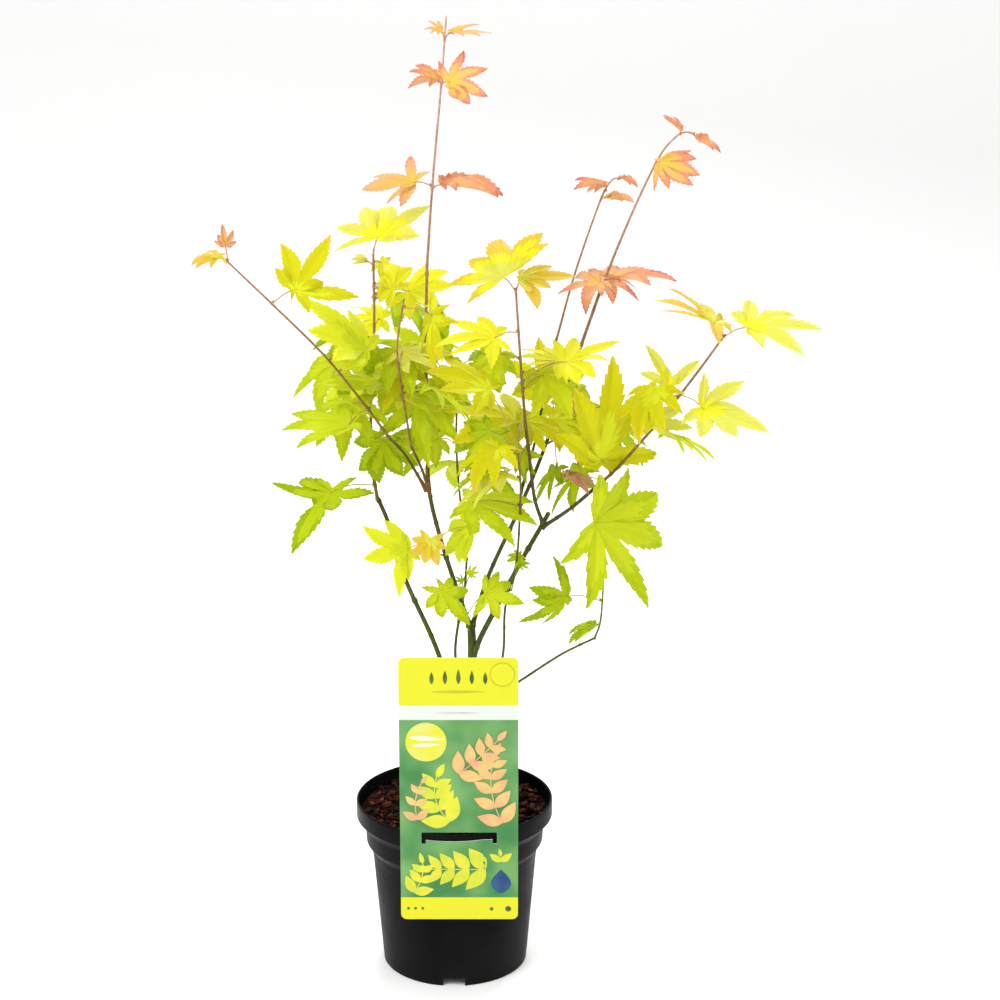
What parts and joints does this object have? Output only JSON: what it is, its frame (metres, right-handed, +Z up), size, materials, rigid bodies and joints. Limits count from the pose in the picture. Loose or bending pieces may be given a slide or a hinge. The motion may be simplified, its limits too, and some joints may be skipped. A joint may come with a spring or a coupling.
{
  "type": "potted japanese maple",
  "caption": "Young maple with lobed yellow-green and coral leaves on thin forking stems, in a black nursery pot with a hanging picture tag.",
  "frame": {"origin": "middle of the pot's flat underside", "axes": "+Z up along the pot's axis, -Y towards the side that shows the tag, +X to that viewer's right"},
  "size_m": [0.4988, 0.2977, 0.8121],
  "materials": {
    "pot_plastic": "black injection-moulded nursery pot, satin",
    "bark_compost": "coarse red-brown bark chips",
    "tag_plastic": "smooth printed plastic card",
    "trunk_bark": "smooth olive-green young bark",
    "bough_bark": "smooth bark, olive low down and red-brown above",
    "foliage": "thin matte leaves, yellow-green with coral young tips"
  },
  "bodies": {
    "root": {"bough_a": "bough_bark", "bough_b": "bough_bark", "bough_c": "bough_bark", "bough_d": "bough_bark", "bough_d1": "bough_bark", "bough_d2": "bough_bark", "bough_e": "bough_bark", "bough_f": "bough_bark", "bough_g": "bough_bark", "bough_h": "bough_bark", "leaves_a": "foliage", "leaves_b": "foliage", "leaves_d1": "foliage", "leaves_d2": "foliage", "leaves_e": "foliage", "leaves_e_mid": "foliage", "leaves_f": "foliage", "leaves_foot": "foliage", "leaves_g": "foliage", "leaves_h": "foliage", "leaves_left": "foliage", "leaves_low": "foliage", "leaves_mid": "foliage", "leaves_tall": "foliage", "leaves_top": "foliage", "pot": "pot_plastic", "shoot_left": "bough_bark", "shoot_mid": "bough_bark", "shoot_tall": "bough_bark", "soil": "bark_compost", "tag": "tag_plastic", "trunk": "trunk_bark"}
  },
  "joints": []
}
